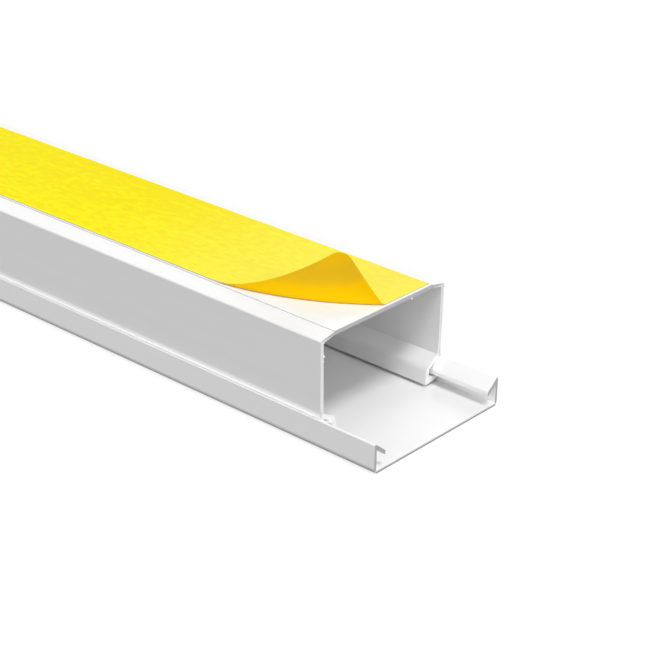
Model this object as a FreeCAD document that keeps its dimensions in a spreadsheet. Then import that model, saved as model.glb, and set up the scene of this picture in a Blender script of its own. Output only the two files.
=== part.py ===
import FreeCAD, Part

import math
import os
import re

import Sketcher
from FreeCAD import Vector

# Cord cover raceway: a self-adhesive two-piece extruded trunking, lying on its cover.
# X runs along the length with the opened end at +X, Y runs across and Z is up.
# The cover's plain face is at Z = 0 and the taped back is on top. Sizes are in millimetres.

SIZES = {
    # lengths along the extrusion
    "length": 400.0,
    "slide_out": 15.0,
    # cover: a shallow channel whose two lips hook inward
    "cover_width": 40.0,
    "cover_height": 7.0,
    "cover_wall": 0.6,
    "cover_corner_radius": 1.0,
    "cover_inner_radius": 0.3,
    "cover_rim_radius": 0.3,
    "lip_thickness": 0.75,
    "lip_reach": 3.3,
    "lip_slant": 40.0,
    # base channel: web, two walls, stepped-in legs and outward flanges
    "wall_inset": 0.5,
    "wall_lean": 0.25,
    "back_height": 24.65,
    "base_wall": 0.9,
    "web_thickness": 0.75,
    "shoulder_width": 4.0,
    "shoulder_drop": 0.8,
    "shoulder_thickness": 0.55,
    "back_corner_radius": 0.4,
    "inner_corner_radius": 0.6,
    "foot_radius": 0.2,
    "bend_slant": 28.0,
    "leg_wall": 1.1,
    "knee_radius": 1.8,
    "flange_root": 1.45,
    "flange_tip": 0.75,
    "flange_lead": 0.45,
    "flange_radius": 0.25,
    # running clearances between the base channel and the cover
    "plate_gap": 0.75,
    "leg_gap": 1.05,
    "flange_gap": 0.9,
    "bend_gap": 0.2,
    # mounting tape on the back and the release liner on the tape
    "tape_margin": 0.1,
    "tape_thickness": 0.2,
    "liner_margin": 0.4,
    "liner_setback": 0.55,
    "liner_thickness": 0.15,
    # corner of the liner that is peeled up at the opened end
    "peel_along": 38.3,
    "peel_across": 16.4,
    "peel_bow": 3.6,
    "peel_tip_radius": 3.0,
    "curl_angle": 99.0,
    "curl_spread": 22.0,
    "curl_bend": 2.0,
    "curl_sway": 0.18,
}

# Lines of the two sections that follow from the sizes above.
DERIVED = {
    "cover_half": "cover_width / 2",
    "lip_edge": "cover_half - lip_reach",
    "lip_top": "cover_height - lip_reach * tan(lip_slant)",
    "lip_depth": "lip_thickness / cos(lip_slant)",
    "lip_root": "cover_height - cover_wall * tan(lip_slant) - lip_depth",
    "base_half": "cover_half - wall_inset",
    "base_inside": "base_half - base_wall",
    "foot_half": "base_half - wall_lean",
    "seat_half": "base_half - shoulder_width",
    "web_under": "back_height - web_thickness",
    "corner_height": "back_height - shoulder_drop",
    "leg_outside": "lip_edge - leg_gap",
    "leg_inside": "leg_outside - leg_wall",
    "lip_at_foot": "cover_height - (cover_half - foot_half) * tan(lip_slant)",
    "foot_height": "lip_at_foot + bend_gap / cos(lip_slant)",
    "bend_depth": "leg_wall / cos(bend_slant)",
    "foot_top": "foot_height - base_wall * tan(bend_slant) + bend_depth",
    "knee_height": "foot_height - (foot_half - leg_outside) * tan(bend_slant)",
    "knee_top": "knee_height - leg_wall * tan(bend_slant) + bend_depth",
    "flange_under": "cover_wall + plate_gap",
    "flange_edge": "cover_half - cover_wall - flange_gap",
    "tape_half": "seat_half - tape_margin",
    "tape_top": "back_height + tape_thickness",
    "liner_half": "tape_half - liner_margin",
    "base_end": "(length - slide_out) / 2",
    "liner_end": "base_end - liner_setback",
}

CURL_ROWS = 12
CURL_STATIONS = 22
STATION_CROWDING = 1.7
BEND_STEPS = 24
RUN_ALIKE = 1
SAME_PLACE = 1e-3

doc = FreeCAD.newDocument("cord_cover_raceway")
sheet = doc.addObject("Spreadsheet::Sheet", "Sizes")
for row, (alias, value) in enumerate(SIZES.items(), start=1):
    sheet.set(f"A{row}", alias)
    sheet.set(f"B{row}", str(value))
    sheet.setAlias(f"B{row}", alias)
doc.recompute()


def bound(text):
    """Writes a size formula out in terms of the sheet's own cells."""
    def cell(match):
        word = match.group(0)
        if word in SIZES:
            return f"Sizes.{word}"
        if word in DERIVED:
            return f"({bound(DERIVED[word])})"
        return word
    return re.sub(r"[a-z]+(_[a-z]+)*", cell, text)


def size(text):
    """Value of a size formula as a plain number."""
    return float(sheet.evalExpression(bound(text)))


def origin_plane(body, role):
    for feature in body.Origin.OriginFeatures:
        if feature.Role == role:
            return feature
    raise RuntimeError(f"{body.Name} has no {role}")


def new_body(label):
    body = doc.addObject("PartDesign::Body", label)
    body.Label = label
    return body


def section_sketch(body, name, corners):
    """Closed half section across the length; each corner is a pair of formulas for Y and Z."""
    sketch = body.newObject("Sketcher::SketchObject", name)
    sketch.AttachmentSupport = (origin_plane(body, "YZ_Plane"), "")
    sketch.MapMode = "FlatFace"
    points = [Vector(size(across), size(up), 0) for across, up in corners]
    count = len(points)
    for index, start in enumerate(points):
        sketch.addGeometry(Part.LineSegment(start, points[(index + 1) % count]), False)
    for index in range(count):
        sketch.addConstraint(Sketcher.Constraint("Coincident", index, 2, (index + 1) % count, 1))
    for index, (across, up) in enumerate(corners):
        for kind, axis, formula in (("DistanceX", -2, across), ("DistanceY", -1, up)):
            if formula == "0":
                sketch.addConstraint(Sketcher.Constraint("PointOnObject", index, 1, axis))
                continue
            rule = Sketcher.Constraint(kind, -1, 1, index, 1, size(formula))
            number = sketch.addConstraint(rule)
            sketch.setExpression(f"Constraints[{number}]", bound(formula))
    return sketch


def extrude_section(body, sketch):
    """Draws the half section out along the length and mirrors it about the centre plane."""
    pad = body.newObject("PartDesign::Pad", f"{body.Label}_half")
    pad.Profile = sketch
    pad.setExpression("Length", bound("length"))
    mirrored = body.newObject("PartDesign::Mirrored", f"{body.Label}_both")
    mirrored.Originals = [pad]
    mirrored.MirrorPlane = (origin_plane(body, "XZ_Plane"), [""])
    body.Tip = mirrored
    doc.recompute()
    return mirrored


def long_edges(feature, places):
    """Names of the lengthwise edges at these (Y, Z) corners, on both sides of the centre."""
    names = []
    for number, edge in enumerate(feature.Shape.Edges, start=1):
        box = edge.BoundBox
        if box.YLength > SAME_PLACE or box.ZLength > SAME_PLACE:
            continue
        for across, up in places:
            off = max(abs(abs(box.Center.y) - size(across)), abs(box.Center.z - size(up)))
            if off < SAME_PLACE:
                names.append(f"Edge{number}")
    if len(names) != 2 * len(places):
        raise RuntimeError(f"{feature.Name}: {len(names)} edges for {len(places)} corners")
    return names


def round_edges(body, base, name, radius, places):
    fillet = body.newObject("PartDesign::Fillet", name)
    fillet.Base = (base, long_edges(base, places))
    fillet.setExpression("Radius", bound(radius))
    body.Tip = fillet
    doc.recompute()
    return fillet


def make_cover():
    """Plate, two low skirts and the lips that slant down and inward from their rims."""
    body = new_body("cover")
    sketch = section_sketch(body, "cover_section", [
        ("0", "0"),
        ("cover_half", "0"),
        ("cover_half", "cover_height"),
        ("lip_edge", "lip_top"),
        ("lip_edge", "lip_top - lip_depth"),
        ("cover_half - cover_wall", "lip_root"),
        ("cover_half - cover_wall", "cover_wall"),
        ("0", "cover_wall"),
    ])
    shape = extrude_section(body, sketch)
    shape = round_edges(body, shape, "cover_corners", "cover_corner_radius",
                        [("cover_half", "0")])
    shape = round_edges(body, shape, "cover_inside_corners", "cover_inner_radius",
                        [("cover_half - cover_wall", "cover_wall")])
    round_edges(body, shape, "cover_rims", "cover_rim_radius",
                [("cover_half", "cover_height"), ("lip_edge", "lip_top")])
    body.setExpression("Placement.Base.x", bound("slide_out - (length + slide_out) / 2"))
    return body


def make_base_channel():
    """Web with drooping shoulders, walls that step in to the legs, and outward flanges."""
    body = new_body("base_channel")
    sketch = section_sketch(body, "base_section", [
        ("0", "web_under"),
        ("seat_half", "web_under"),
        ("base_inside", "corner_height - shoulder_thickness"),
        ("foot_half - base_wall", "foot_top"),
        ("leg_inside", "knee_top"),
        ("leg_inside", "flange_under"),
        ("leg_outside", "flange_under"),
        ("flange_edge", "flange_under + flange_lead"),
        ("flange_edge", "flange_under + flange_lead + flange_tip"),
        ("leg_outside", "flange_under + flange_root"),
        ("leg_outside", "knee_height"),
        ("foot_half", "foot_height"),
        ("base_half", "corner_height"),
        ("seat_half", "back_height"),
        ("0", "back_height"),
    ])
    shape = extrude_section(body, sketch)
    shape = round_edges(body, shape, "back_corners", "back_corner_radius",
                        [("base_half", "corner_height")])
    shape = round_edges(body, shape, "inside_corners", "inner_corner_radius",
                        [("base_inside", "corner_height - shoulder_thickness")])
    shape = round_edges(body, shape, "feet", "foot_radius", [("foot_half", "foot_height")])
    shape = round_edges(body, shape, "knees", "knee_radius", [("leg_inside", "knee_top")])
    shape = round_edges(body, shape, "knee_hollows", "knee_radius - leg_wall",
                        [("leg_outside", "knee_height")])
    round_edges(body, shape, "flange_tips", "flange_radius", [
        ("flange_edge", "flange_under + flange_lead"),
        ("flange_edge", "flange_under + flange_lead + flange_tip"),
    ])
    body.setExpression("Placement.Base.x", bound("-(length + slide_out) / 2"))
    return body


def make_tape():
    """Foam mounting tape, as long as the channel and centred on its flat back."""
    body = new_body("adhesive_tape")
    sketch = section_sketch(body, "tape_section", [
        ("0", "back_height"),
        ("tape_half", "back_height"),
        ("tape_half", "tape_top"),
        ("0", "tape_top"),
    ])
    extrude_section(body, sketch)
    body.setExpression("Placement.Base.x", bound("-(length + slide_out) / 2"))
    return body


def turn_up(free, bend, full_turn):
    """Carries the sheet up through its bend and straight on for what is left of its free length.

    Returns how far it ends outward and up from the peel line, and its slope there.
    """
    curved = min(free, bend)
    step = curved / BEND_STEPS
    run, rise = 0.0, 0.0
    for number in range(BEND_STEPS):
        angle = full_turn * math.sin(math.pi / 2 * (number + 0.5) * step / bend) ** 2
        run += step * math.cos(angle)
        rise += step * math.sin(angle)
    angle = full_turn * math.sin(math.pi / 2 * curved / bend) ** 2
    run += (free - curved) * math.cos(angle)
    rise += (free - curved) * math.sin(angle)
    return run, rise, angle


def curl_row(near_end, cut_end, tip_middle, share):
    """One row of the peeled corner, from the bowed peel line to the rounded tip.

    The sheet turns up further towards the near end, and what stands up leans that way too.
    Returns the row's points on the underside and on the outer side.
    """
    line = cut_end - near_end
    along = Vector(line).normalize()
    outward = Vector(along.y, -along.x, 0)
    bow = 4 * size("peel_bow")
    bend = size("curl_bend")
    round_turn = share * math.pi / 2
    tip_reach = Vector(math.sin(round_turn), -math.cos(round_turn), 0) * size("peel_tip_radius")
    tip = tip_middle + tip_reach - near_end
    first_place = share * line.Length
    first_out = bow * share * (1 - share)
    under, outer = [], []
    for station in range(CURL_STATIONS + 1):
        part_way = (station / CURL_STATIONS) ** STATION_CROWDING
        place = first_place + part_way * (tip.dot(along) - first_place)
        out = first_out + part_way * (tip.dot(outward) - first_out)
        share_here = place / line.Length
        peel_out = bow * share_here * (1 - share_here)
        turn = size("curl_angle") + size("curl_spread") * (0.5 - share_here)
        run, rise, angle = turn_up(max(out - peel_out, 0), bend, math.radians(turn))
        point = near_end + along * (place - size("curl_sway") * rise) + outward * (peel_out + run)
        point.z += rise
        normal = Vector(0, 0, math.cos(angle)) - outward * math.sin(angle)
        under.append(point)
        outer.append(point + normal * size("liner_thickness"))
    return under, outer


def surface_through(rows):
    surface = Part.BSplineSurface()
    surface.interpolate(rows)
    return surface


def border(surface):
    """The four edges of a surface: peel line, tip, near free edge and cut free edge."""
    first_u, last_u, first_v, last_v = surface.bounds()
    curves = [surface.vIso(first_v), surface.vIso(last_v), surface.uIso(first_u), surface.uIso(last_u)]
    return [curve.toShape() for curve in curves]


def make_liner():
    """Release liner on the tape, its near corner at the opened end peeled and standing up."""
    half = size("liner_half")
    end = size("liner_end")
    start = size("base_end - length")
    level = size("tape_top")
    near_end = Vector(end - size("peel_along"), -half, level)
    cut_end = Vector(end, size("peel_across") - half, level)
    tip_middle = Vector(end - size("peel_tip_radius"), size("peel_tip_radius") - half, level)
    shares = [row / CURL_ROWS for row in range(CURL_ROWS + 1)]
    rows = [curl_row(near_end, cut_end, tip_middle, share) for share in shares]
    under = surface_through([row[0] for row in rows])
    outer = surface_through([row[1] for row in rows])
    sides = [Part.makeRuledSurface(low, high, RUN_ALIKE)
             for low, high in zip(border(under), border(outer))]
    shell = Part.Shell([under.toShape(), outer.toShape()] + sides)
    shell.sewShape()
    curl = Part.Solid(shell)
    if curl.Volume < 0:
        curl.reverse()
    turns = [cut_end, Vector(end, half, level), Vector(start, half, level),
             Vector(start, -half, level), near_end]
    straights = [Part.makeLine(first, second) for first, second in zip(turns, turns[1:])]
    outline = Part.Wire(Part.__sortEdges__(straights + border(under)[:1]))
    strip = Part.Face(outline).extrude(Vector(0, 0, size("liner_thickness")))
    liner = doc.addObject("Part::Feature", "release_liner")
    liner.Label = "release_liner"
    liner.Shape = strip.fuse(curl)
    return liner


def check_and_export(pieces):
    doc.recompute()
    for item in doc.Objects:
        if "Invalid" in item.State or "Error" in item.State:
            raise RuntimeError(f"{item.Name} failed: {item.State}")
    os.makedirs("parts", exist_ok=True)
    for piece in pieces:
        shape = piece.Shape
        if shape.isNull() or not shape.isValid() or len(shape.Solids) != 1:
            raise RuntimeError(f"{piece.Label} is not one valid solid")
        shape.exportStep(f"parts/{piece.Label}.step")
        box = shape.BoundBox
        print(f"{piece.Label}: {shape.Volume / 1000:.2f} cm3,"
              f" X {box.XMin:.2f} to {box.XMax:.2f}, Y {box.YMin:.2f} to {box.YMax:.2f},"
              f" Z {box.ZMin:.2f} to {box.ZMax:.2f}")


check_and_export([make_cover(), make_base_channel(), make_tape(), make_liner()])
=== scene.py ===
import math

import bmesh
import bpy
from mathutils import Matrix, Vector, noise


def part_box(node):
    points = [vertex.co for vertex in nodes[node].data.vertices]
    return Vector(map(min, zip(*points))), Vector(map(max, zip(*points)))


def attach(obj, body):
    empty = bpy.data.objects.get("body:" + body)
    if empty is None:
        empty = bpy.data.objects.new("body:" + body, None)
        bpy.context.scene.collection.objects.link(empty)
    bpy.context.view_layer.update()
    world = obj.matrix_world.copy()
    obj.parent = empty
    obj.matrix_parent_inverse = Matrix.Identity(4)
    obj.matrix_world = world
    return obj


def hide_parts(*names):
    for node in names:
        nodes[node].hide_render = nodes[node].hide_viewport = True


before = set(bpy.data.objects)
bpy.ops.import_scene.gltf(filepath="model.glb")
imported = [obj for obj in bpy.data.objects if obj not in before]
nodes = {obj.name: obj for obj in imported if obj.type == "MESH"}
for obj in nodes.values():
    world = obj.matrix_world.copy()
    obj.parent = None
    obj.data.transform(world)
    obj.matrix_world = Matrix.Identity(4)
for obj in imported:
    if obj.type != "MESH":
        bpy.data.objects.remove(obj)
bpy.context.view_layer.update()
mm = 0.001
# what comes from a box is rounded to a hundredth of a millimetre
channelStart, channelEnd = (round(corner.x, 5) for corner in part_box("base_channel"))
_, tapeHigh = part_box("adhesive_tape")
sheetLow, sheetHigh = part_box("release_liner")
print("frame loaded:", ", ".join(sorted(nodes)))


class Wire:  # a node's output socket that works in plain arithmetic
    def __init__(self, tree, socket=None):
        self.tree = tree
        self.socket = socket

    def node(self, kind, settings=None, sockets=None, output=0):
        made = self.tree.nodes.new("ShaderNode" + kind)
        for name, value in (settings or {}).items():
            setattr(made, name, value)
        for name, value in (sockets or {}).items():
            if isinstance(value, Wire):
                self.tree.links.new(value.socket, made.inputs[name])
            else:
                made.inputs[name].default_value = value
        return Wire(self.tree, made.outputs[output]) if made.outputs else None

    def sum(self, operation, first, second=0.0):
        return self.node("Math", {"operation": operation}, {0: first, 1: second})

    def __add__(self, other):
        return self.sum("ADD", self, other)

    def __radd__(self, other):
        return self.sum("ADD", other, self)

    def __sub__(self, other):
        return self.sum("SUBTRACT", self, other)

    def __rsub__(self, other):
        return self.sum("SUBTRACT", other, self)

    def __mul__(self, other):
        return self.sum("MULTIPLY", self, other)

    def __rmul__(self, other):
        return self.sum("MULTIPLY", other, self)

    def part(self, axis):  # one of a vector's x, y and z
        return self.node("SeparateXYZ", {}, {0: self}, axis)

    def centred(self):  # a noise that sways about 0 and not about 0.5
        return self - 0.5

    def noise(self, place, cell, turn=(0, 0, 0), detail=2):  # cell is the pattern's size along x, y, z
        spread = self.node("Mapping", {"vector_type": "TEXTURE"},
                           {"Vector": place, "Scale": cell, "Rotation": turn})
        return self.node("TexNoise", {}, {"Vector": spread, "Scale": 1, "Detail": detail})

    def step(self, value, low, high):  # smooth step from 0 at low to 1 at high
        return self.node("MapRange", {"interpolation_type": "SMOOTHSTEP"}, {0: value, 1: low, 2: high})

    def blend(self, mask, first, second):
        return self.node("Mix", {"data_type": "RGBA"}, {0: mask, 6: first, 7: second}, 2)


def newMaterial(name):
    material = bpy.data.materials.new(name)
    material.use_nodes = True
    material.node_tree.nodes.clear()
    return material, Wire(material.node_tree)


def finishMaterial(start, colour, roughness, height, reach, constants):
    # height is a number wire in 0 to 1, reach its depth in metres
    bump = start.node("Bump", {}, {"Height": height, "Distance": reach, "Strength": 1})
    sockets = {"Base Color": colour, "Roughness": roughness, "Normal": bump, **constants}
    shader = start.node("BsdfPrincipled", {}, sockets)
    start.node("OutputMaterial", {}, {"Surface": shader})


def addPiece(name, form, material):
    # turns a finished bmesh into an object that wears its material
    mesh = bpy.data.meshes.new(name)
    form.to_mesh(mesh)
    form.free()
    mesh.materials.append(material)
    piece = bpy.data.objects.new(name, mesh)
    bpy.context.scene.collection.objects.link(piece)
    return piece


def smoothOver(form, sharp=math.pi):
    # smooth faces, with an edge kept crisp where it turns by more than sharp, in radians
    for face in form.faces:
        face.smooth = True
    for edge in form.edges:
        edge.smooth = edge.calc_face_angle(0) < sharp


# white extruded vinyl: fine die lines along the length, sawn across at both ends

vinyl = {
    "dieLine": (300 * mm, 0.6 * mm, 0.6 * mm),
    "dieBand": (500 * mm, 3.5 * mm, 3.5 * mm),
    "grain": (0.5 * mm, 0.22 * mm, 0.22 * mm),
    "sawLine": (9 * mm, 0.13 * mm, 3 * mm),
    "sawTurn": (math.radians(14), 0, 0),
    "sawnFrom": 0.8,           # a face is sawn where its normal lies this far along the length
    "sawnTo": 0.95,
    "lineShade": 0.98,         # brightness inside the bands and the saw lines
    "bandLow": 0.35,
    "bandHigh": 0.75,
    "bandStrength": 0.6,
    "sawStrength": 0.25,
    "roughness": 0.33,
    "roughnessSway": 0.08,
    "sawnRoughness": 0.62,
    "lineRelief": 0.14,        # shares of the depth
    "grainRelief": 0.05,
    "sawRelief": 0.6,
    "depth": 0.03 * mm,
}

# painted shade: the cover's long bottom edges are painted darker where their rounding turns towards the
# floor
cornerShade = {
    "colour": (0.3, 0.3, 0.3, 1),
    "from": 1.6 * mm,          # heights above the floor
    "to": 0.3 * mm,
    "inside": 19.45 * mm,      # distances from the middle
    "outside": 19.7 * mm,
    "least": 0.8,
    "sway": 0.4,
}

# the sawn ends, from the floor up: a low band, the middle and a high band
baseEnds = {
    "low": (0.9, 0.9, 0.9, 1),     # as the middle
    "middle": (0.9, 0.9, 0.9, 1),
    "high": (0.5, 0.48, 0.5, 1),
    "lowTo": 0,
    "highFrom": 23.7 * mm,     # the web's end is greyer from here up
    "fade": 0.25 * mm,
}
coverEnds = {
    "low": (0.2, 0.2, 0.2, 1),     # painted contact shadow along the plate's lower edge, where it meets the floor
    "middle": (0.8, 0.8, 0.8, 1),
    "high": (0.42, 0.42, 0.42, 1),
    "lowTo": 0.28 * mm,
    "highFrom": 0.62 * mm,
    "fade": 0.06 * mm,
}


def makeVinyl(name, white, ends):
    material, start = newMaterial(name)
    place = start.node("TexCoord", output="Object")
    facing = start.node("TexCoord", output="Normal")
    sawn = start.step(start.sum("ABSOLUTE", facing.part("X")), vinyl["sawnFrom"], vinyl["sawnTo"])
    lines = start.noise(place, vinyl["dieLine"], detail=3)
    bands = start.noise(place, vinyl["dieBand"])
    grain = start.noise(place, vinyl["grain"])
    sawLines = start.noise(place, vinyl["sawLine"], vinyl["sawTurn"], 3)
    bodyColour = (white, white, white, 1)
    shade = white * vinyl["lineShade"]
    lineColour = (shade, shade, shade, 1)
    inBand = start.step(bands, vinyl["bandLow"], vinyl["bandHigh"])
    body = start.blend(inBand * vinyl["bandStrength"], bodyColour, lineColour)
    height = place.part("Z")
    # painted shade along the cover's long bottom edges, darker from 1.6 mm down to 0.3 mm above the floor
    outside = start.step(start.sum("ABSOLUTE", place.part("Y")), cornerShade["inside"], cornerShade["outside"])
    below = 1 - start.step(height, cornerShade["to"], cornerShade["from"])
    body = start.blend(outside * below * (cornerShade["least"] + lines * cornerShade["sway"]), body, cornerShade["colour"])
    aboveLow = start.step(height, ends["lowTo"], ends["lowTo"] + ends["fade"])
    high = start.step(height, ends["highFrom"], ends["highFrom"] + ends["fade"])
    cut = start.blend(high, start.blend(aboveLow, ends["low"], ends["middle"]), ends["high"])
    cut = start.blend(sawLines * vinyl["sawStrength"], cut, lineColour)
    colour = start.blend(sawn, body, cut)
    sway = vinyl["roughnessSway"]
    drawn = vinyl["roughness"] + bands.centred() * sway + lines.centred() * sway
    roughness = drawn + sawn * (vinyl["sawnRoughness"] - drawn)
    drawnRelief = lines * vinyl["lineRelief"] + grain * vinyl["grainRelief"]
    relief = (1 - sawn) * drawnRelief + sawn * sawLines * vinyl["sawRelief"]
    finishMaterial(start, colour, roughness, relief, vinyl["depth"], {"IOR": 1.53})
    return material


# one white vinyl in two brightnesses: the cover's is painted lighter than the base's, painted light and
# shade
baseVinyl = makeVinyl("base_vinyl", 0.865, baseEnds)
coverVinyl = makeVinyl("cover_vinyl", 0.93, coverEnds)


# white foam mounting tape: tiny closed cells and tacky blotches on its face, and its sides painted grey as
# painted shade

foamTape = {
    "colour": (0.88, 0.93, 0.975, 1),
    "tackColour": (0.865, 0.915, 0.965, 1),
    "edgeShadeColour": (0.6, 0.6, 0.6, 1),
    "cell": (0.16 * mm, 0.16 * mm, 0.16 * mm),
    "blotch": (5 * mm, 2.2 * mm, 2 * mm),
    "blotchLow": 0.4,
    "blotchHigh": 0.65,
    "faceFrom": 0.3,           # the face is where the normal lies this far along z
    "faceTo": 0.8,
    "roughness": 0.42,
    "dryRoughness": 0.16,      # added between the blotches
    "cellRelief": 0.5,         # shares of the depth
    "blotchRelief": 0.3,
    "depth": 0.02 * mm,
}


def makeFoamTape():
    material, start = newMaterial("foam_tape")
    place = start.node("TexCoord", output="Object")
    facing = start.node("TexCoord", output="Normal")
    cells = start.noise(place, foamTape["cell"], detail=1)
    patches = start.noise(place, foamTape["blotch"], detail=3)
    blotches = start.step(patches, foamTape["blotchLow"], foamTape["blotchHigh"])
    onFace = start.step(facing.part("Z"), foamTape["faceFrom"], foamTape["faceTo"])
    tacky = start.blend(blotches, foamTape["colour"], foamTape["tackColour"])
    # painted shade: the tape is grey wherever its normal turns away from up
    colour = start.blend(onFace, foamTape["edgeShadeColour"], tacky)
    roughness = foamTape["roughness"] + (1 - blotches) * foamTape["dryRoughness"]
    height = cells * foamTape["cellRelief"] + blotches * foamTape["blotchRelief"]
    finishMaterial(start, colour, roughness, height, foamTape["depth"], {"IOR": 1.47})
    return material


# yellow release liner, as a sheet whose near corner is peeled up at the cut end

liner = {
    "start": round(sheetLow.x, 5),
    "end": round(sheetHigh.x, 5),
    "halfWidth": round(sheetHigh.y, 5),
    "level": round(tapeHigh.z, 5),     # the tape's adhesive face
    "thickness": 0.15 * mm,
    "peelAlong": 38.3 * mm,
    "peelAcross": 16.4 * mm,
    "peelBow": 3.6 * mm,
    "tipRadius": 3 * mm,
    "curlAngle": 99,
    "curlSpread": 22,
    "curlBend": 2 * mm,
    "curlSway": 0.18,
    "bendSteps": 24,
    "cellsAlong": 150,
    "cellsAcross": 40,
    "cellsOfPeel": 72,
    "cellsOfFlap": 44,
    "crowding": 1.6,           # over 1 draws the flap's cells in towards its bend
    "weld": 0.002 * mm,
    "wave": 0.04 * mm,
    "waveAlong": 14 * mm,
    "waveAcross": 8 * mm,
    "raisedFrom": 0.5 * mm,    # the rim of what stands up higher than this is as golden as its inside
    "sharp": 0.7,
}


def peelFrame():
    # the peel line's near end, its length, the way along it and the way out from it
    nearEnd = Vector((liner["end"] - liner["peelAlong"], -liner["halfWidth"]))
    peel = Vector((liner["peelAlong"], liner["peelAcross"]))
    along = peel.normalized()
    return nearEnd, peel.length, along, Vector((along.y, -along.x))


def peelPoint(share):
    nearEnd, line, along, outward = peelFrame()
    return nearEnd + along * share * line + outward * 4 * liner["peelBow"] * share * (1 - share)


def tipPoint(share):
    turn = share * math.pi / 2
    middle = Vector((liner["end"] - liner["tipRadius"], liner["tipRadius"] - liner["halfWidth"]))
    return middle + Vector((math.sin(turn), -math.cos(turn))) * liner["tipRadius"]


def bendAngle(full, travelled):
    # the sheet's slope this far into its bend
    return full * math.sin(math.pi / 2 * travelled / liner["curlBend"]) ** 2


def curlPoint(flat):
    # where a point of the flat sheet goes, and the way its outer side faces
    nearEnd, line, along, outward = peelFrame()
    place = (flat - nearEnd).dot(along)
    share = place / line
    peelOut = 4 * liner["peelBow"] * share * (1 - share)
    free = (flat - nearEnd).dot(outward) - peelOut
    if share <= 0 or free <= 0:
        return Vector((flat.x, flat.y, liner["level"])), Vector((0, 0, 1))
    full = math.radians(liner["curlAngle"] + liner["curlSpread"] * (0.5 - share))
    curved = min(free, liner["curlBend"])
    stride = curved / liner["bendSteps"]
    run, rise = 0.0, 0.0
    for count in range(liner["bendSteps"]):
        angle = bendAngle(full, (count + 0.5) * stride)
        run += stride * math.cos(angle)
        rise += stride * math.sin(angle)
    angle = bendAngle(full, curved)
    run += (free - curved) * math.cos(angle)
    rise += (free - curved) * math.sin(angle)
    spot = nearEnd + along * (place - liner["curlSway"] * rise) + outward * (peelOut + run)
    facing = Vector((0, 0, math.cos(angle))) - outward.to_3d() * math.sin(angle)
    return Vector((spot.x, spot.y, liner["level"] + rise)), facing


def layFlatSheet(sheet):
    # three grids meet at the peel line: the strip, the part beside the peel line and the flap
    peelStart = liner["end"] - liner["peelAlong"]
    grid = {"size": 0.5, "y_segments": liner["cellsAcross"]}
    strip = bmesh.ops.create_grid(sheet, x_segments=liner["cellsAlong"], **grid)["verts"]
    for vert in strip:
        share = vert.co.x + 0.5
        vert.co = Vector((liner["start"] + share * (peelStart - liner["start"]),
                          vert.co.y * 2 * liner["halfWidth"], 0))
    beside = bmesh.ops.create_grid(sheet, x_segments=liner["cellsOfPeel"], **grid)["verts"]
    for vert in beside:
        near = peelPoint(vert.co.x + 0.5)
        vert.co = near.lerp(Vector((near.x, liner["halfWidth"])), vert.co.y + 0.5).to_3d()
    grid["y_segments"] = liner["cellsOfFlap"]
    flap = bmesh.ops.create_grid(sheet, x_segments=liner["cellsOfPeel"], **grid)["verts"]
    for vert in flap:
        share = vert.co.x + 0.5
        partWay = (0.5 - vert.co.y) ** liner["crowding"]
        vert.co = peelPoint(share).lerp(tipPoint(share), partWay).to_3d()
    bmesh.ops.remove_doubles(sheet, verts=sheet.verts[:], dist=liner["weld"])
    flatSheet = sheet.loops.layers.uv.new("flatSheet")
    for face in sheet.faces:
        for loop in face.loops:
            loop[flatSheet].uv = loop.vert.co.xy


# waxed and mottled outside, with pale streaks painted as reflection; golden on the side that faced the
# adhesive, partly its own colour and partly painted light shining through the sheet, with painted shade in
# the flap's middle
linerPaper = {
    "colour": (0.845, 0.7, 0.0, 1),
    # pale where the sheet catches the light: painted reflection along lengthwise streaks, mixed with the
    # paper's mottle
    "paleSheenColour": (0.875, 0.79, 0.008, 1),
    "wornColour": (0.88, 0.78, 0.12, 1),
    # the underside's golden is partly the sheet's own colour and partly painted light shining through it
    "underColour": (0.93, 0.545, 0.001, 1),
    "goldShadeColour": (0.81, 0.475, 0.012, 1),
    # the flat cut edge is painted grey-brown, painted shadow along the liner's edge
    "edgeShadeColour": (0.52, 0.47, 0.45, 1),
    "streak": (45 * mm, 4 * mm, 4 * mm),
    "mottle": (2.6 * mm, 1.3 * mm, 1.3 * mm),
    "fibre": (0.5 * mm, 0.3 * mm, 0.3 * mm),
    "streakStrength": 1.3,
    "mottleStrength": 2.8,
    "sideways": 14,            # how much paler the liner is towards its near edge, for each metre
    "paleLow": -0.35,
    "paleHigh": 0.45,
    "wornFrom": 110 * mm,      # handling has paled the liner from here to its cut end
    "wornTo": 195 * mm,
    "wornLeast": 0.3,
    "goldPatch": (16 * mm, 9 * mm, 9 * mm),
    "goldSway": 5 * mm,
    "goldFrom": 6 * mm,        # the glue side is painted from yellow to a darker gold this far out from the peel line, painted shade of the flap's middle
    "goldTo": 9 * mm,
    "tipFrom": 11 * mm,        # and partly back to yellow here, where the painted shade eases towards the tip
    "tipTo": 14 * mm,
    "tipStrength": 0.7,
    "roughness": 0.4,
    "paleRoughness": 0.12,
    "fibreRoughness": 0.1,
    "mottleRelief": 0.4,       # shares of the depth
    "fibreRelief": 0.1,
    "depth": 0.05 * mm,
    "specular": 0.03,          # the paper is matt, with hardly any gloss
}


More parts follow.
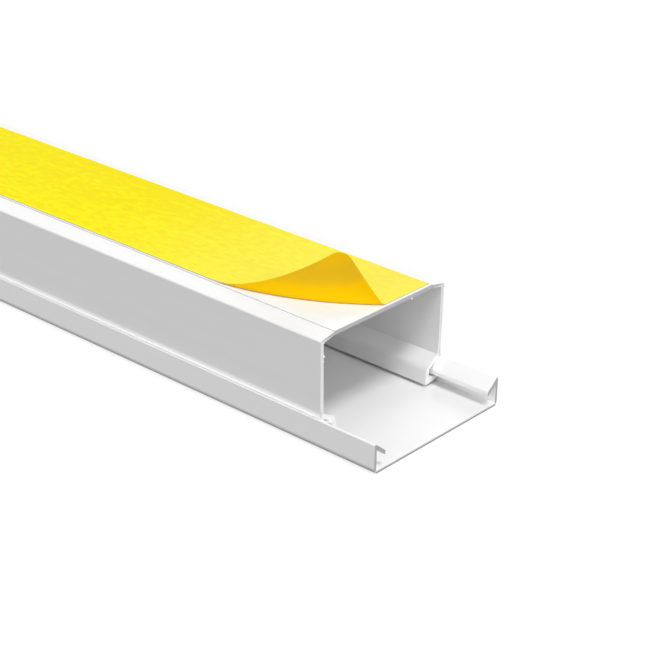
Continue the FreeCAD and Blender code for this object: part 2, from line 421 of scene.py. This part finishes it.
def makeLinerPaper():
    material, start = newMaterial("liner_paper")
    flat = start.node("UVMap", {"uv_map": "flatSheet"})
    under = start.node("Attribute", {"attribute_name": "underside"}, output="Fac")
    edge = start.node("Attribute", {"attribute_name": "cutEdge"}, output="Fac")
    sheenStreaks = start.noise(flat, linerPaper["streak"])
    mottle = start.noise(flat, linerPaper["mottle"], detail=4)
    fibres = start.noise(flat, linerPaper["fibre"], detail=3)
    worn = start.step(flat.part("X"), linerPaper["wornFrom"], linerPaper["wornTo"])
    patches = sheenStreaks.centred() * linerPaper["streakStrength"]
    patches = patches + mottle.centred() * linerPaper["mottleStrength"]
    patches = patches - flat.part("Y") * linerPaper["sideways"]
    # painted reflection: pale lengthwise streaks where the wavy sheet catches the light, with the paper's
    # own mottle
    pale = start.step(patches, linerPaper["paleLow"], linerPaper["paleHigh"])
    clean = start.blend(pale, linerPaper["colour"], linerPaper["paleSheenColour"])
    outside = start.blend(worn * (linerPaper["wornLeast"] + mottle), clean, linerPaper["wornColour"])
    nearEnd, _, _, outward = peelFrame()
    offset = start.node("VectorMath", {"operation": "SUBTRACT"}, {0: flat, 1: nearEnd.to_3d()})
    out = start.node("VectorMath", {"operation": "DOT_PRODUCT"}, {0: offset, 1: outward.to_3d()}, "Value")
    out = out + start.noise(flat, linerPaper["goldPatch"]).centred() * linerPaper["goldSway"]
    tip = start.step(out, linerPaper["tipFrom"], linerPaper["tipTo"])
    # painted shade: darker gold across the flap's middle, easing back towards the tip
    flapShade = start.step(out, linerPaper["goldFrom"], linerPaper["goldTo"])
    flapShade = flapShade * (1 - tip * linerPaper["tipStrength"])
    inside = start.blend(flapShade, linerPaper["underColour"], linerPaper["goldShadeColour"])
    # painted shadow: the liner's flat cut edge is grey-brown
    colour = start.blend(edge, start.blend(under, outside, inside), linerPaper["edgeShadeColour"])
    roughness = linerPaper["roughness"] + pale * linerPaper["paleRoughness"]
    roughness = roughness + fibres.centred() * linerPaper["fibreRoughness"]
    height = mottle * linerPaper["mottleRelief"] + fibres * linerPaper["fibreRelief"]
    finishMaterial(start, colour, roughness, height, linerPaper["depth"],
                   {"IOR": 1.5, "Specular IOR Level": linerPaper["specular"]})
    return material


def makeLiner():
    sheet = bmesh.new()
    layFlatSheet(sheet)
    for vert in sheet.verts:
        spot, facing = curlPoint(vert.co.xy)
        wavePlace = Vector((vert.co.x / liner["waveAlong"], vert.co.y / liner["waveAcross"], 0))
        ripple = noise.noise(wavePlace) + 1
        vert.co = spot + facing * (liner["thickness"] + liner["wave"] * ripple)
    underside = sheet.faces.layers.float.new("underside")
    cutEdge = sheet.faces.layers.float.new("cutEdge")
    outer = set(sheet.faces)
    sheet.normal_update()
    bmesh.ops.solidify(sheet, geom=sheet.faces[:], thickness=liner["thickness"])
    for face in sheet.faces:
        onRim = face not in outer and any(other in outer for edge in face.edges for other in edge.link_faces)
        raised = face.calc_center_median().z > liner["level"] + liner["raisedFrom"]
        face[cutEdge] = 1 if onRim and not raised else 0
        face[underside] = 0 if face in outer or onRim and not raised else 1
    smoothOver(sheet, liner["sharp"])
    piece = addPiece("release_liner_sheet", sheet, makeLinerPaper())
    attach(piece, "base")
    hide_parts("release_liner")
    print("release liner sheet:", len(piece.data.polygons), "faces")


# a fillet along each foot of the base sweeps out over the cover's rim and lies close along its lip

footBead = {
    # across and up in mm: down the wall, out round the fillet, back in along the lip and up inside the wall
    "section": [(19.2, 8.3), (19.27, 7.7), (19.37, 7.3), (19.48, 7.07), (19.62, 6.94), (19.79, 6.87),
                (19.84, 6.82), (19.82, 6.74), (19.66, 6.71), (19.5, 6.65), (16.95, 4.5), (16.95, 4.9),
                (18.9, 6.6), (18.9, 8.3)],
    "sharp": 0.6,
}


def makeFootBead(name, hand):
    # the section is drawn at the start and extruded along the channel; hand is -1 for the near side
    bead = bmesh.new()
    corners = []
    for across, up in footBead["section"]:
        corners.append(bead.verts.new((channelStart, hand * across * mm, up * mm)))
    section = bead.faces.new(corners)
    pulled = bmesh.ops.extrude_face_region(bead, geom=[section])["geom"]
    ends = [item for item in pulled if isinstance(item, bmesh.types.BMVert)]
    bmesh.ops.translate(bead, verts=ends, vec=(channelEnd - channelStart, 0, 0))
    bmesh.ops.recalc_face_normals(bead, faces=bead.faces[:])
    smoothOver(bead, footBead["sharp"])
    piece = addPiece(name, bead, baseVinyl)
    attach(piece, "base")


# crumbs of swarf that the saw left on the base's cut end, four of them in the notch under the near foot

swarf = {
    # out from the cut end, across, up and radius, in mm
    "crumbs": [(0.05, -18.56, 20.3, 0.3), (0, -18.6, 19.2, 0.2), (0.1, 8.6, 23.85, 0.26),
               (-0.05, -16.1, 4.6, 0.42), (-0.05, -17.2, 5.2, 0.28), (0, 16.4, 23.9, 0.16),
               (0, -16.65, 4.93, 0.36), (0, -15.85, 4.35, 0.28)],
    "lump": 0.25 * mm,
    "lumpHeight": 0.35,        # share of the radius
    "apart": 7.3,              # keeps two crumbs from having the same lumps
    "flatness": 0.6,
}


def makeSwarf():
    crumbs = bmesh.new()
    for number, (out, across, up, radius) in enumerate(swarf["crumbs"]):
        made = bmesh.ops.create_icosphere(crumbs, subdivisions=2, radius=radius * mm)["verts"]
        for vert in made:
            rough = noise.noise(vert.co / swarf["lump"] + Vector((number * swarf["apart"], 0, 0)))
            vert.co = vert.co * (1 + swarf["lumpHeight"] * rough)
            vert.co.x *= swarf["flatness"]
        place = Vector((channelEnd + out * mm, across * mm, up * mm))
        bmesh.ops.translate(crumbs, verts=made, vec=place)
    smoothOver(crumbs)
    piece = addPiece("saw_swarf", crumbs, baseVinyl)
    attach(piece, "base")


def dress(node, material):
    nodes[node].data.materials.clear()
    nodes[node].data.materials.append(material)


dress("base_channel", baseVinyl)
dress("cover", coverVinyl)
dress("adhesive_tape", makeFoamTape())
print("channel, cover and tape have their materials")
makeLiner()
makeFootBead("foot_bead_near", -1)
makeFootBead("foot_bead_far", 1)
makeSwarf()
print("foot beads and swarf are on")


# pale floor, even sky, and five softboxes; each stands where it is tilted and swung to from the aim

studio = {
    "floorSize": 8,
    "floorColour": (0.2, 0.2, 0.2, 1),
    "shownColour": (0.96, 0.96, 0.96, 1),
    "floorWhite": 0.77,        # share of plain white that the camera sees on the floor
    "skyLight": 0.35,
    "aim": (0.17, 0, 0.01),
    "key": {"tilt": 24, "swing": -20, "distance": 2.0, "size": 0.55, "power": 19},
    "fill": {"tilt": 64, "swing": -8, "distance": 2.0, "size": 1.1, "power": 11.5},
    "side": {"tilt": 74, "swing": -85, "distance": 2.0, "size": 1.1, "power": 10},
    "back": {"tilt": 62, "swing": 95, "distance": 2.0, "size": 1.1, "power": 12},
    "rear": {"tilt": 76, "swing": 178, "distance": 2.2, "size": 1.2, "power": 10},
}
plainWhite = (1, 1, 1, 1)


def showsBackdrop(start):
    kinds = ("Is Camera Ray", "Is Glossy Ray", "Is Transmission Ray")
    camera, glossy, transmission = (start.node("LightPath", output=kind) for kind in kinds)
    return start.sum("MAXIMUM", start.sum("MAXIMUM", camera, glossy), transmission)


def makeFloor():
    floor = bmesh.new()
    bmesh.ops.create_grid(floor, x_segments=1, y_segments=1, size=studio["floorSize"] / 2)
    material, start = newMaterial("floor_white")
    matt = start.node("BsdfDiffuse", {}, {"Color": studio["floorColour"]})
    pale = start.node("BsdfDiffuse", {}, {"Color": studio["shownColour"]})
    white = start.node("Emission", {}, {"Color": plainWhite, "Strength": 1})
    shown = start.node("MixShader", {}, {0: studio["floorWhite"], 1: pale, 2: white})
    mixed = start.node("MixShader", {}, {0: showsBackdrop(start), 1: matt, 2: shown})
    start.node("OutputMaterial", {}, {"Surface": mixed})
    piece = addPiece("studio_floor", floor, material)


def makeSky():
    world = bpy.data.worlds.new("studio_sky")
    world.use_nodes = True
    world.node_tree.nodes.clear()
    start = Wire(world.node_tree)
    glow = start.node("Background", {}, {"Color": plainWhite, "Strength": studio["skyLight"]})
    white = start.node("Background", {}, {"Color": plainWhite, "Strength": 1})
    mixed = start.node("MixShader", {}, {0: showsBackdrop(start), 1: glow, 2: white})
    start.node("OutputWorld", {}, {"Surface": mixed})
    bpy.context.scene.world = world


def makeSoftbox(name):
    # tilt is in degrees from straight up towards +X, swing from there towards +Y
    box = studio[name]
    tilt, swing = math.radians(box["tilt"]), math.radians(box["swing"])
    back = Vector((math.sin(tilt) * math.cos(swing), math.sin(tilt) * math.sin(swing), math.cos(tilt)))
    lamp = bpy.data.lights.new(name + "_softbox", "AREA")
    lamp.shape = "DISK"
    lamp.size = box["size"]
    lamp.energy = box["power"]
    softbox = bpy.data.objects.new(name + "_softbox", lamp)
    softbox.location = Vector(studio["aim"]) + back * box["distance"]
    softbox.rotation_euler = back.to_track_quat("Z", "Y").to_euler()
    bpy.context.scene.collection.objects.link(softbox)


makeFloor()
makeSky()
for softbox in ("key", "fill", "side", "back", "rear"):
    makeSoftbox(softbox)
print("floor, sky and softboxes are set")


# camera at the photograph's angle

view = {
    "eye": (395.58 * mm, -248.18 * mm, 174.62 * mm),
    "azimuth": 41.461,
    "elevation": 25.679,
    "roll": 0.943,
    "lens": 96.37,
    "sensor": 36,
    "clipStart": 10 * mm,
}


def makeCamera():
    azimuth, elevation, roll = (math.radians(view[key]) for key in ("azimuth", "elevation", "roll"))
    # back points from the object to the camera, and level to the camera's right along the horizon
    back = Vector((math.sin(azimuth) * math.cos(elevation), -math.cos(azimuth) * math.cos(elevation),
                   math.sin(elevation)))
    level = Vector((math.cos(azimuth), math.sin(azimuth), 0))
    upright = back.cross(level)
    right = level * math.cos(roll) + upright * math.sin(roll)
    up = upright * math.cos(roll) - level * math.sin(roll)
    lens = bpy.data.cameras.new("photo_camera")
    lens.lens = view["lens"]
    lens.sensor_width = view["sensor"]
    lens.clip_start = view["clipStart"]
    camera = bpy.data.objects.new("photo_camera", lens)
    camera.matrix_world = Matrix.Translation(view["eye"]) @ Matrix((right, up, back)).transposed().to_4x4()
    bpy.context.scene.collection.objects.link(camera)
    bpy.context.scene.camera = camera


makeCamera()
bpy.context.scene.view_settings.view_transform = "Standard"
